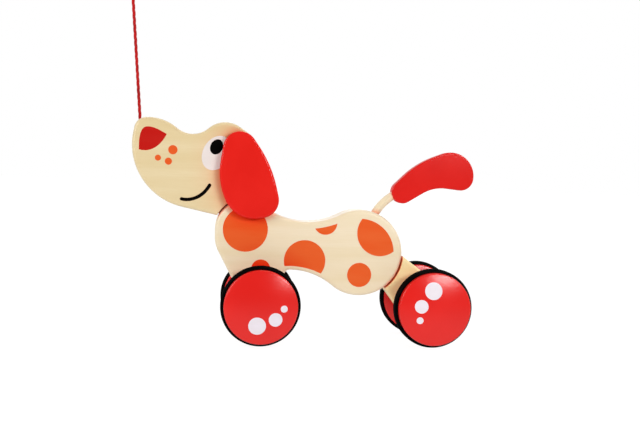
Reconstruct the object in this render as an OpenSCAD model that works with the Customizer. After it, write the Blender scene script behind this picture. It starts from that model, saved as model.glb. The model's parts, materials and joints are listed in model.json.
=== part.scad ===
// Wheeled pull-along puppy in painted wood.
// The body, the head and the hind leg are each glued up from a middle ply and two side plies.
// The middle plies of the head and the hind leg end in round tongues, which turn on hidden pins
// between the side plies of the body. Each pair of wheels is glued to its own turning axle.
// All sizes are in millimetres: nose to -X, tail to +X, floor at Z = 0, left side to -Y.

/* [Body] */
// Thickness of the body, the head and the hind leg over all three plies
body_t = 25; // [20:0.5:32]
// Thickness of the middle ply
core_t = 9; // [8:0.5:12]
// Distance of the neck pivot ahead of the origin
neck_ahead = 46; // [42:0.5:50]
// Height of the neck pivot above the floor
neck_h = 84.5; // [80:0.5:90]
// Radius of the neck knuckle
neck_r = 22.9; // [20:0.1:25]
// Distance of the hip pivot behind the origin
hip_behind = 41.8; // [38:0.1:46]
// Height of the hip pivot above the floor
hip_h = 68.9; // [65:0.1:73]
// Radius of the hip knuckle
hip_r = 32.9; // [30:0.1:35]
// Radius of the hollow in the back
back_r = 55; // [45:1:90]
// Radius of the arch of the belly
belly_r = 52; // [40:1:60]
// Direction from the hip pivot to the centre of the belly arch, below the horizontal
belly_slope = 51; // [48:0.5:54]
// Radius of the inside corner between the front leg and the belly
groin_r = 4.5; // [3:0.5:6]
// Radius of the chest
chest_r = 23.5; // [22:0.5:27]
// Height by which the middle of the chest lies below the neck pivot
chest_drop = 5.5; // [3:0.5:8]
// Radius of the end of the front leg
front_leg_r = 10.5; // [8:0.5:14]

/* [Head] */
// Radius of the chin
chin_r = 47.4; // [44:0.1:50]
// Middle of the chin, ahead of and above the neck pivot
chin_at = [38, 62.5];
// Radius of the top of the muzzle
muzzle_r = 32; // [26:0.5:36]
// Middle of the arc on top of the muzzle, ahead of and above the neck pivot
muzzle_at = [73, 50.3];
// Radius of the upper front corner of the muzzle
snout_r = 9.3; // [7:0.1:12]
// Radius of the hollow between the muzzle and the brow
bridge_r = 18; // [14:0.5:26]
// Radius of the brow
brow_r = 19; // [16:0.5:21]
// Middle of the brow, ahead of and above the neck pivot
brow_at = [16.5, 61.5];
// Radius of the back of the head
nape_r = 23.3; // [20:0.1:26]
// Middle of the back of the head, ahead of and above the neck pivot
nape_at = [14, 54.5];

/* [Ears] */
// Thickness of an ear
ear_t = 6; // [4:0.5:9]
// Height of the round seat that holds an ear off the side of the head
ear_seat_h = 1.2; // [0.8:0.1:2]
// Diameter of that seat
ear_seat_d = 20; // [14:1:24]
// Diameter of the dowel that carries both ears
ear_dowel_d = 8; // [5:0.5:10]
// Depth of the dowel in each ear
ear_dowel_in = 4; // [2.5:0.5:5]
// Dowel, ahead of and above the neck pivot
ear_at = [4.5, 56];

/* [Tail] */
// Thickness of the tail paddle
tail_t = 9; // [8:0.5:14]
// Diameter of the tail stem
stem_d = 6.6; // [5:0.1:7]
// Radius that the stem is bent to
stem_bend_r = 40; // [35:1:50]
// Depth of the stem in the body
stem_in_body = 12; // [8:0.5:14]
// Depth of the stem in the paddle
stem_in_tail = 10; // [6:0.5:12]

/* [Hind leg] */
// Radius of the lower end of the hind leg
hind_leg_r = 18; // [16:0.5:20]
// Angle that the hind leg swings back and up from its rest
leg_swing_up = 30; // [20:1:34]
// Angle that the hind leg swings down and forward from its rest
leg_swing_down = 24; // [10:1:28]

/* [Neck] */
// Angle that the head nods down from its rest
nod_down = 20; // [10:1:24]
// Angle that the head nods up from its rest
nod_up = 14; // [6:1:18]

/* [Pins] */
// Diameter of the neck pin and of the hip pin
pin_d = 8; // [6:0.5:10]
// Depth of a pin in each side ply of the body
pin_in = 5; // [3:0.5:6]
// Wood left around a pin in the tongue that turns on it
tongue_wall = 8; // [6:0.5:9]

/* [Wheels] */
// Diameter of a wheel over its tyre
wheel_d = 59.4; // [52:0.1:66]
// Thickness of the rubber tyre
tyre_t = 2.5; // [1.5:0.1:4]
// Width of the tyre
tyre_w = 8; // [6:0.1:9]
// Distance of the tyre behind the outer edge of the wheel's rim
tyre_inset = 5; // [2:0.1:6]
// Rounding of the tyre's edges
tyre_edge = 1.4; // [0.6:0.1:1.4]
// Width of the wheel at its rim
wheel_w = 14; // [13.5:0.5:18]
// Height of the domed outer face
dome_h = 3.5; // [2:0.5:6]
// Height of the shallower dome on the inner face
inner_dome_h = 2.5; // [1:0.5:4]
// Gap between the side of the body and the inner face of a wheel
wheel_gap = 11.2; // [8:0.1:14]
// Diameter of the hub on the inner face
hub_d = 18; // [14:0.5:24]
// Diameter of the axles
axle_d = 8; // [6:0.5:10]
// Distance of the front axle behind the neck pivot
front_axle_back = 12.2; // [10:0.1:15]
// Distance between the two axles
wheelbase = 129.8; // [126:0.1:132]
// Thickness of the washer beside each hub
washer_t = 1; // [0.6:0.1:2]

/* [Pull cord] */
// Diameter of the cord
cord_d = 2.5; // [2:0.1:3.5]
// Diameter of the wooden bead at its end
bead_d = 20; // [16:0.5:26]
// Diameter of the knots
knot_d = 6.4; // [5:0.1:7]
// Length of a knot
knot_l = 5.5; // [4:0.1:6]

/* [Fits] */
// Gap around the neck and hip knuckles
knuckle_gap = 1; // [0.8:0.1:2]
// Gap on each side of a tongue in its slot
tongue_play = 0.3; // [0.2:0.05:0.5]
// Radial clearance where a piece turns on a pin or an axle
run_fit = 0.08; // [0.05:0.01:0.1]
// Radial clearance of a glued pin, stem or dowel
glue_fit = 0.03; // [0.01:0.01:0.05]
// Gap between a washer and the leg beside it
washer_play = 0.3; // [0.2:0.05:0.5]
// Gap around the cord in a hole
cord_play = 0.4; // [0.2:0.1:0.8]

/* [Hidden] */
$fn = 96;
arc_step = 4;
over = 1;
weld = 0.5;
same_point = 0.02;
full_turn = 360;
widest_turn = 330;
half_t = body_t / 2;
half_core = core_t / 2;
half_tongue = half_core - tongue_play;
wheel_r = wheel_d / 2;
rim_r = wheel_r - tyre_t;
axle_r = axle_d / 2;
pin_r = pin_d / 2;
cord_r = cord_d / 2;
bead_r = bead_d / 2;

// Pivots and axles, as X and Z
neck = [-neck_ahead, neck_h];
hip = [hip_behind, hip_h];
front_axle_at = [neck[0] + front_axle_back, wheel_r];
rear_axle_at = [front_axle_at[0] + wheelbase, wheel_r];

// Points and circles in the side view. A circle is X, Z, radius and 1 where the outline
// bulges round it or -1 where the outline hollows round it.
function polar(c, r, a) = [c[0] + r * cos(a), c[1] + r * sin(a)];
function ahead_of(c, at) = [c[0] - at[0], c[1] + at[1]];
function bulge(c, r) = [c[0], c[1], r, 1];
function hollow(c, r) = [c[0], c[1], r, -1];
function corner(c) = [c[0], c[1], 0, 1];
function pt(c) = [c[0], c[1]];

// Middle of the hollow of radius r that touches two bulges, to the left of the way from a to b
function hollow_between(a, b, r) =
    let (
        gap = pt(b) - pt(a),
        d = norm(gap),
        reach = a[2] + r,
        along = (reach * reach - (b[2] + r) * (b[2] + r) + d * d) / (2 * d),
        aside = sqrt(max(0, reach * reach - along * along))
    )
    pt(a) + along * gap / d + aside * [-gap[1], gap[0]] / d;

// Outline that runs counterclockwise round a list of circles, like a belt
function wrap(a) = a - full_turn * floor(a / full_turn);
function settle(a) = a > widest_turn ? 0 : a;
function heading(a, b) =
    let (
        gap = pt(b) - pt(a),
        rise = (b[3] * b[2] - a[3] * a[2]) / norm(gap)
    )
    atan2(gap[1], gap[0]) - asin(max(-1, min(1, rise)));
function turn(c, from, to) = c[3] * settle(wrap(c[3] * (to - from)));
function arc(c, from, sweep) =
    let (n = c[2] > 0 ? max(1, ceil(abs(sweep) / arc_step)) : 0)
    [for (i = [0:n]) polar(c, c[3] * c[2], from - 90 + (n > 0 ? sweep * i / n : 0))];
function belt(cs) =
    let (
        n = len(cs),
        ways = [for (i = [0:n - 1]) heading(cs[i], cs[(i + 1) % n])]
    )
    [for (i = [0:n - 1])
        let (from = ways[(i + n - 1) % n])
        each arc(cs[i], from, turn(cs[i], from, ways[i]))];
function distinct(points) =
    let (n = len(points))
    [for (i = [0:n - 1]) if (norm(points[i] - points[(i + n - 1) % n]) > same_point) points[i]];
function outline(cs) = distinct(belt(cs));
function sector(c, r, a0, a1) =
    let (n = ceil((a1 - a0) / arc_step))
    concat([c], [for (i = [0:n]) polar(c, r, a0 + (a1 - a0) * i / n)]);

// Body outline
groin_bearing = 89.4;
chest_back = 0.7;
neck_bulge = bulge(neck, neck_r);
hip_bulge = bulge(hip, hip_r);
belly_at = polar(hip, hip_r + belly_r, 180 + belly_slope);
groin_at = polar(belly_at, belly_r - groin_r, groin_bearing);
chest_at = [neck[0] + chest_back, neck[1] - chest_drop];
back_at = hollow_between(neck_bulge, hip_bulge, back_r);
body_outline = outline([
    neck_bulge,
    bulge(chest_at, chest_r),
    bulge(front_axle_at, front_leg_r),
    hollow(groin_at, groin_r),
    hollow(belly_at, belly_r),
    hip_bulge,
    hollow(back_at, back_r)
]);

// Head outline
jaw_bearing = 154;
crown_bearing = 80;
snout_bearing = 94.5;
neck_cut_r = neck_r + knuckle_gap;
muzzle_mid = ahead_of(neck, muzzle_at);
snout_mid = polar(muzzle_mid, muzzle_r - snout_r, snout_bearing);
brow_bulge = bulge(ahead_of(neck, brow_at), brow_r);
muzzle_bulge = bulge(muzzle_mid, muzzle_r);
bridge_mid = hollow_between(muzzle_bulge, brow_bulge, bridge_r);
head_outline = outline([
    bulge(snout_mid, snout_r),
    bulge(ahead_of(neck, chin_at), chin_r),
    corner(polar(neck, neck_cut_r, jaw_bearing)),
    hollow(neck, neck_cut_r),
    corner(polar(neck, neck_cut_r, crown_bearing)),
    bulge(ahead_of(neck, nape_at), nape_r),
    brow_bulge,
    hollow(bridge_mid, bridge_r),
    muzzle_bulge
]);

// Ear outline, drawn from the neck pivot: each row is ahead, up and radius
ear_arcs = [
    [5.5, 61, 12.7],
    [-30, 44, 50.3],
    [-6, 32.5, 23.8],
    [-11, 23, 13.4],
    [64.5, 11.5, 89.5]
];
ear_outline = outline([for (e = ear_arcs) bulge(ahead_of(neck, e), e[2])]);
ear_dowel_at = ahead_of(neck, ear_at);
ear_in = half_t + ear_seat_h;

// Tail, drawn from the hip pivot: each row is behind, up, radius and bulge or hollow
stem_from_hip = [12.9, 30.3];
stem_rise = 60;
stem_show = 28.5;
tail_arcs = [
    [33.7, 47.2, 8.7, 1],
    [65.2, 21.1, 30, -1],
    [79.6, 59.8, 10, 1],
    [71.2, 60.8, 18.5, 1],
    [82.8, 11.5, 68.6, 1]
];
stem_foot = hip + stem_from_hip;
stem_mid = polar(stem_foot, stem_bend_r, stem_rise - 90);
stem_foot_bearing = 90 + stem_rise;
function bend_angle(l) = l / stem_bend_r * 180 / PI;
function from_hip(t) = [hip[0] + t[0], hip[1] + t[1], t[2], t[3]];
tail_outline = outline([for (t = tail_arcs) from_hip(t)]);

// Hind leg outline and the tongues
leg_top_bearing = -3.6;
leg_low_bearing = -52.5;
leg_end_at = [-4, 3];
web_inset = 4;
web_slack = 3;
tongue_r = pin_r + tongue_wall;
slot_r = tongue_r + knuckle_gap;
hip_cut_r = hip_r + knuckle_gap;
leg_outline = outline([
    corner(polar(hip, hip_cut_r, leg_top_bearing)),
    hollow(hip, hip_cut_r),
    corner(polar(hip, hip_cut_r, leg_low_bearing)),
    bulge(rear_axle_at + leg_end_at, hind_leg_r)
]);
neck_web = [crown_bearing + web_inset, jaw_bearing - web_inset];
hip_web = [leg_low_bearing + web_inset, leg_top_bearing - web_inset];

// Wheels, as distances out from the middle plane
wheel_in = half_t + wheel_gap;
wheel_out = wheel_in + wheel_w;
hub_in = half_t + washer_play + washer_t;
tyre_in = wheel_out - tyre_inset - tyre_w;
function dome_radius(h) = (rim_r * rim_r + h * h) / (2 * h);
dome_r = dome_radius(dome_h);
inner_dome_r = dome_radius(inner_dome_h);
axle_end_wall = 4;
axle_half = wheel_out - axle_end_wall;

// Pull cord: a straight taut route, from the knot in the muzzle to the knot over the bead
cord_start = [-125, 0, 143];
cord_end = [-136, 0, 284];
cord_sides = 8;
cord_ring_step = 6;
cord_way = cord_end - cord_start;
cord_l = norm(cord_way);
cord_lean = atan2(cord_way[0], cord_way[2]);
cord_rings = ceil(cord_l / cord_ring_step);
knot_shoulder = 0.3;
bead_rest = 0.1;
pocket_r = knot_d / 2 + cord_play;

// Flat piece of the given outline between two distances from the middle plane
module ply(points, y0, y1) {
    translate([0, y1, 0])
        rotate([90, 0, 0])
            linear_extrude(y1 - y0)
                polygon(points);
}

// Round bar across the toy
module bar(c, r, y0, y1) {
    translate([c[0], y1, c[1]])
        rotate([90, 0, 0])
            cylinder(r = r, h = y1 - y0);
}

// Piece drawn for the right side, put on the left or the right
module on_side(side) {
    mirror([0, side < 0 ? 1 : 0, 0])
        children();
}

// Round tongue on a pin, with the web that joins it to its ply
module tongue(c, web, reach) {
    bar(c, tongue_r, -half_tongue, half_tongue);
    ply(sector(c, reach, web[0], web[1]), -half_tongue, half_tongue);
}

// Room that a tongue needs between the side plies over its whole swing
module tongue_slot(c, web, swing, reach) {
    bar(c, slot_r, -half_core - over, half_core + over);
    ply(
        sector(c, reach, web[0] - swing[0] - web_slack, web[1] + swing[1] + web_slack),
        -half_core - over, half_core + over
    );
}

// Bent round bar of the stem, over a range of bearings from the middle of its bend
module stem_bar(r, a0, a1) {
    translate([stem_mid[0], 0, stem_mid[1]])
        rotate([90, 0, 0])
            rotate([0, 0, a0])
                rotate_extrude(angle = a1 - a0)
                    translate([stem_bend_r, 0])
                        circle(r = r);
}

module body_side(side) {
    on_side(side)
        difference() {
            ply(body_outline, half_core, half_t);
            bar(neck, pin_r + glue_fit, half_core - over, half_core + pin_in);
            bar(hip, pin_r + glue_fit, half_core - over, half_core + pin_in);
            bar(front_axle_at, axle_r + run_fit, half_core - over, half_t + over);
        }
}

module body_core() {
    color("wheat")
        difference() {
            ply(body_outline, -half_core, half_core);
            tongue_slot(neck, neck_web, [nod_up, nod_down], 2 * neck_r);
            tongue_slot(hip, hip_web, [leg_swing_down, leg_swing_up], 2 * hip_r);
            bar(front_axle_at, axle_r + run_fit, -half_core - over, half_core + over);
            stem_bar(
                stem_d / 2 + glue_fit,
                stem_foot_bearing - bend_angle(stem_in_tail),
                stem_foot_bearing + bend_angle(stem_in_body)
            );
        }
}

module body_left_side() {
    color("wheat") body_side(-1);
}

module body_right_side() {
    color("wheat") body_side(1);
}

module pin(c) {
    bar(c, pin_r, -half_core - pin_in + glue_fit, half_core + pin_in - glue_fit);
}

module neck_pin() {
    color("burlywood") pin(neck);
}

module hip_pin() {
    color("burlywood") pin(hip);
}

module tail_stem() {
    color("wheat")
        stem_bar(
            stem_d / 2,
            stem_foot_bearing - stem_show - bend_angle(stem_in_tail),
            stem_foot_bearing + bend_angle(stem_in_body)
        );
}

module tail_paddle() {
    color("red")
        difference() {
            ply(tail_outline, -tail_t / 2, tail_t / 2);
            stem_bar(
                stem_d / 2 + glue_fit,
                stem_foot_bearing - stem_show - bend_angle(stem_in_tail),
                stem_foot_bearing
            );
        }
}

// Straight hole or bar along the cord, from one distance along it to another
module along_cord(l0) {
    translate(cord_start + cord_way * l0 / cord_l)
        rotate([0, cord_lean, 0])
            children();
}

module head_core() {
    color("wheat")
        difference() {
            union() {
                ply(head_outline, -half_core, half_core);
                tongue(neck, neck_web, neck_cut_r + knuckle_gap);
            }
            bar(neck, pin_r + run_fit, -half_core - over, half_core + over);
            bar(ear_dowel_at, ear_dowel_d / 2 + glue_fit, -half_core - over, half_core + over);
            along_cord(0) cylinder(r = cord_r + cord_play, h = cord_l);
            along_cord(-knot_l / 2)
                rotate([90, 0, 0])
                    cylinder(r = pocket_r, h = core_t + 2 * over, center = true);
        }
}

module cheek(side) {
    on_side(side)
        difference() {
            ply(head_outline, half_core, half_t);
            bar(ear_dowel_at, ear_dowel_d / 2 + glue_fit, half_core - over, half_t + over);
        }
}

module head_left_cheek() {
    color("wheat") cheek(-1);
}

module head_right_cheek() {
    color("wheat") cheek(1);
}

module ear(side) {
    on_side(side)
        difference() {
            union() {
                ply(ear_outline, ear_in, ear_in + ear_t);
                bar(ear_dowel_at, ear_seat_d / 2, half_t, ear_in + weld);
            }
            bar(ear_dowel_at, ear_dowel_d / 2 + glue_fit, half_t - over, ear_in + ear_dowel_in);
        }
}

module left_ear() {
    color("red") ear(-1);
}

module right_ear() {
    color("red") ear(1);
}

module ear_dowel() {
    end = ear_in + ear_dowel_in - glue_fit;
    color("burlywood") bar(ear_dowel_at, ear_dowel_d / 2, -end, end);
}

// Cord as one closed tube of rings along its route
module pull_cord() {
    side = [cos(cord_lean), 0, -sin(cord_lean)];
    cross = [0, 1, 0];
    points = [for (i = [0:cord_rings])
        for (j = [0:cord_sides - 1])
            let (a = full_turn * j / cord_sides)
            cord_start + cord_way * i / cord_rings + cord_r * (cos(a) * side + sin(a) * cross)];
    walls = [for (i = [0:cord_rings - 1])
        for (j = [0:cord_sides - 1])
            let (k = (j + 1) % cord_sides)
            [i * cord_sides + j, (i + 1) * cord_sides + j, (i + 1) * cord_sides + k, i * cord_sides + k]];
    low_cap = [for (j = [0:cord_sides - 1]) j];
    high_cap = [for (j = [0:cord_sides - 1]) (cord_rings + 1) * cord_sides - 1 - j];
    color("firebrick") polyhedron(points, concat(walls, [low_cap, high_cap]));
}

// Knot as a barrel with flat ends
module knot() {
    r = knot_d / 2;
    rotate_extrude()
        polygon([
            [0, 0],
            [cord_r, 0],
            [r, knot_l * knot_shoulder],
            [r, knot_l * (1 - knot_shoulder)],
            [cord_r, knot_l],
            [0, knot_l]
        ]);
}

module cord_knots() {
    color("firebrick") {
        along_cord(-knot_l) knot();
        along_cord(cord_l) knot();
    }
}

module pull_bead() {
    hole_r = cord_r + cord_play;
    top = sqrt(bead_r * bead_r - hole_r * hole_r);
    color("red")
        along_cord(cord_l - top - bead_rest)
            difference() {
                sphere(r = bead_r);
                cylinder(r = hole_r, h = 2 * bead_d, center = true);
            }
}

module hind_leg_core() {
    color("wheat")
        difference() {
            union() {
                ply(leg_outline, -half_core, half_core);
                tongue(hip, hip_web, hip_cut_r + knuckle_gap);
            }
            bar(hip, pin_r + run_fit, -half_core - over, half_core + over);
            bar(rear_axle_at, axle_r + run_fit, -half_core - over, half_core + over);
        }
}

module leg_side(side) {
    on_side(side)
        difference() {
            ply(leg_outline, half_core, half_t);
            bar(rear_axle_at, axle_r + run_fit, half_core - over, half_t + over);
        }
}

module hind_leg_left_side() {
    color("wheat") leg_side(-1);
}

module hind_leg_right_side() {
    color("wheat") leg_side(1);
}

// Piece turned about an axle, drawn outward from the middle plane along +Z
module on_axle(at, side) {
    translate([at[0], 0, at[1]])
        on_side(side)
            rotate([-90, 0, 0])
                children();
}

module axle(at) {
    color("burlywood") bar(at, axle_r, -axle_half, axle_half);
}

// Disc that is domed on both faces, with a hub on its inner face and a blind hole for the axle
module wheel(at, side) {
    color("red")
        on_axle(at, side)
            difference() {
                union() {
                    intersection() {
                        translate([0, 0, wheel_in - inner_dome_h - over])
                            cylinder(r = rim_r, h = inner_dome_h + wheel_w + dome_h + 2 * over);
                        translate([0, 0, wheel_out + dome_h - dome_r])
                            sphere(r = dome_r);
                        translate([0, 0, wheel_in - inner_dome_h + inner_dome_r])
                            sphere(r = inner_dome_r);
                    }
                    translate([0, 0, hub_in])
                        cylinder(r = hub_d / 2, h = wheel_in - hub_in + weld);
                }
                translate([0, 0, hub_in - over])
                    cylinder(r = axle_r + glue_fit, h = axle_half + glue_fit - hub_in + over);
            }
}

module tyre(at, side) {
    color("dimgray")
        on_axle(at, side)
            translate([0, 0, tyre_in])
                rotate_extrude()
                    polygon([
                        [rim_r, 0],
                        [wheel_r - tyre_edge, 0],
                        [wheel_r, tyre_edge],
                        [wheel_r, tyre_w - tyre_edge],
                        [wheel_r - tyre_edge, tyre_w],
                        [rim_r, tyre_w]
                    ]);
}

module washers(at) {
    color("silver")
        for (side = [-1, 1])
            on_axle(at, side)
                translate([0, 0, hub_in - washer_t])
                    difference() {
                        cylinder(r = hub_d / 2, h = washer_t);
                        translate([0, 0, -over])
                            cylinder(r = axle_r + run_fit, h = washer_t + 2 * over);
                    }
}

module front_axle() {
    axle(front_axle_at);
}

module front_left_wheel() {
    wheel(front_axle_at, -1);
}

module front_right_wheel() {
    wheel(front_axle_at, 1);
}

module front_left_tyre() {
    tyre(front_axle_at, -1);
}

module front_right_tyre() {
    tyre(front_axle_at, 1);
}

module front_washers() {
    washers(front_axle_at);
}

module rear_axle() {
    axle(rear_axle_at);
}

module rear_left_wheel() {
    wheel(rear_axle_at, -1);
}

module rear_right_wheel() {
    wheel(rear_axle_at, 1);
}

module rear_left_tyre() {
    tyre(rear_axle_at, -1);
}

module rear_right_tyre() {
    tyre(rear_axle_at, 1);
}

module rear_washers() {
    washers(rear_axle_at);
}

body_core();
body_left_side();
body_right_side();
neck_pin();
hip_pin();
tail_stem();
tail_paddle();
head_core();
head_left_cheek();
head_right_cheek();
left_ear();
right_ear();
ear_dowel();
pull_cord();
cord_knots();
pull_bead();
hind_leg_core();
hind_leg_left_side();
hind_leg_right_side();
front_axle();
front_left_wheel();
front_right_wheel();
front_left_tyre();
front_right_tyre();
front_washers();
rear_axle();
rear_left_wheel();
rear_right_wheel();
rear_left_tyre();
rear_right_tyre();
rear_washers();
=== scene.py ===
"""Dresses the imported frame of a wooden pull-along puppy and stands it in a white studio.

The plies, the ears and the tail get softened edges, the wheels and tyres are turned, the prints are
thin films of ink, and the pull cord is laid up from strands. Sizes in the classes are millimetres.
Meshes are in metres, in the frame's own axes: nose to -X, left side to -Y, up is +Z.
"""

import json
import logging
import math
from collections.abc import Iterable, Sequence
from dataclasses import dataclass
from enum import Enum
from typing import Any

import bmesh
import bpy
from mathutils import Matrix, Vector

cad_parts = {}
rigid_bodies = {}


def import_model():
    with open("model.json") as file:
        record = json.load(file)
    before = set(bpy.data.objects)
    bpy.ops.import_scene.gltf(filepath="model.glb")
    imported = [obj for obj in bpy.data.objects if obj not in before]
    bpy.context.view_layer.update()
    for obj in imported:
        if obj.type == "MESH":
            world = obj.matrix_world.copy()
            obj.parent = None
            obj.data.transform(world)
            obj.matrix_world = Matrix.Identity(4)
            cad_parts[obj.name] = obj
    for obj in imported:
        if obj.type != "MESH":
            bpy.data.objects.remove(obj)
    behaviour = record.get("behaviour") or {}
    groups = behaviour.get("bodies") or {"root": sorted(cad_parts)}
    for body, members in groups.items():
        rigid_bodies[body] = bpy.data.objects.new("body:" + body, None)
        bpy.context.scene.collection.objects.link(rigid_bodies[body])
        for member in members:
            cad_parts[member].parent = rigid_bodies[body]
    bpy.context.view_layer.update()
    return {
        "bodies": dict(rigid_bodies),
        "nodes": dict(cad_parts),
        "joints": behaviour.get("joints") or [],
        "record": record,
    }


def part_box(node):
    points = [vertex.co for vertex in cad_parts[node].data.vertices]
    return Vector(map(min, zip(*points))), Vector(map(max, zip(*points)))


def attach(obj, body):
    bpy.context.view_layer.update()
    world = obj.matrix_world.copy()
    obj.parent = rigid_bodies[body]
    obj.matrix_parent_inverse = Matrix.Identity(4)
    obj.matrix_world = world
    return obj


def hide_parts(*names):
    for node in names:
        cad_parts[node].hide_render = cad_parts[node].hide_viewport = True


LOG = logging.getLogger("puppy")
MM = 0.001

# Sockets of the Mix node when it mixes colours
MIX_FACTOR, MIX_A, MIX_B, MIX_OUT = 0, 6, 7, 2

# Two points closer than this are one, and faces flatter than this to each other are one face
SAME_POINT = 0.002 * MM
FLAT_ANGLE = math.radians(0.4)

# Faces that meet at less than this are shaded as one smooth surface
SMOOTH_ANGLE = math.radians(34)

# Flats in the rounding of a board's rim, and round a turned piece
RIM_FLATS = 6
TURNED_FLATS = 128

# Straight stretches along printed spots, ovals, strokes, their round ends and each side of the nose
SPOT_STEPS, OVAL_STEPS, STROKE_STEPS, STROKE_END_STEPS, NOSE_STEPS = 40, 64, 28, 12, 16

# Straight stretches along the lips, edges and domes of turned pieces
LIP_STEPS, EDGE_STEPS, INNER_DOME_STEPS, DOME_STEPS, BEAD_STEPS = 6, 8, 12, 24, 48

# How far a trefoil's curve reaches from its middle, in its own units
TREFOIL_REACH = 3

WHITE = "#FFFFFF"
BLACK = "#000000"

Point = tuple[float, float]
Place = tuple[float, float, float]
Sockets = tuple[tuple[str, Any], ...]
Node = bpy.types.ShaderNode
Socket = bpy.types.NodeSocket
Tree = bpy.types.NodeTree
Paint = bpy.types.Material
Scene = bpy.types.Scene
Piece = bpy.types.Object
Shape = bmesh.types.BMesh
Edge = bmesh.types.BMEdge
Corner = bmesh.types.BMVert
Frame = dict[str, Any]


class Side(Enum):
    """Side of the toy, with the sign of Y on it."""

    LEFT = -1
    RIGHT = 1

    @property
    def label(self) -> str:
        """Word for the side in the names of pieces."""
        return self.name.lower()


class End(Enum):
    """End of the toy that a pair of wheels carries."""

    FRONT = "front"
    REAR = "rear"


class Keep(Enum):
    """Which part of a spot is left when a line parallel to the board's edge trims it."""

    INSIDE = 1
    OUTSIDE = -1


def linear(code: str) -> tuple[float, float, float, float]:
    """Turns an sRGB hex colour into linear RGBA.

    Args:
        code: Colour such as "#E6251E".

    Returns:
        The four linear channels, with full alpha.
    """
    channels = [int(code[i:i + 2], 16) / 255 for i in (1, 3, 5)]
    red, green, blue = [c / 12.92 if c <= 0.04045 else ((c + 0.055) / 1.055) ** 2.4 for c in channels]
    return red, green, blue, 1.0


def add_node(tree: Tree, kind: str, inputs: dict[str | int, Any] | None = None, **settings: Any) -> Node:
    """Adds one node with its settings, and fills or links its inputs.

    Args:
        tree: Node tree that gets the node.
        kind: Blender's name of the node's type.
        inputs: Value, or socket to link from, for each named or numbered input.
        **settings: Properties of the node.

    Returns:
        The new node.
    """
    node = tree.nodes.new(kind)
    for key, value in settings.items():
        setattr(node, key, value)
    for key, value in (inputs or {}).items():
        if isinstance(value, Socket):
            tree.links.new(value, node.inputs[key])
        else:
            node.inputs[key].default_value = value
    return node


def new_material(name: str, constants: dict[str, Any]) -> tuple[Paint, Tree, Node]:
    """Makes a material with one shader and sets that shader's constant sockets.

    Args:
        name: Name of the real material.
        constants: Values by socket name.

    Returns:
        The material, its node tree and its shader.
    """
    material = bpy.data.materials.new(name)
    material.use_nodes = True
    tree = material.node_tree
    shader = tree.nodes["Principled BSDF"]
    for socket, value in constants.items():
        shader.inputs[socket].default_value = value
    return material, tree, shader


@dataclass(frozen=True)
class Pattern:
    """Soft patches with a real size along each axis of the frame."""

    patch_mm: Place
    detail: float = 2.0
    starts: float = 0.35
    full: float = 0.65

    def add_to(self, tree: Tree) -> Socket:
        """Adds the pattern to a node tree.

        Args:
            tree: Node tree of a material.

        Returns:
            How strongly the pattern shows, from 0 to 1.
        """
        place = add_node(tree, "ShaderNodeTexCoord")
        scaled = add_node(tree, "ShaderNodeMapping", {
            "Vector": place.outputs["Object"],
            "Scale": [1 / (size * MM) for size in self.patch_mm],
        })
        patches = add_node(tree, "ShaderNodeTexNoise", {
            "Vector": scaled.outputs["Vector"], "Scale": 1.0, "Detail": self.detail,
        })
        strength = add_node(tree, "ShaderNodeMapRange", {
            "Value": patches.outputs["Fac"], "From Min": self.starts, "From Max": self.full,
        })
        return strength.outputs["Result"]


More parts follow.
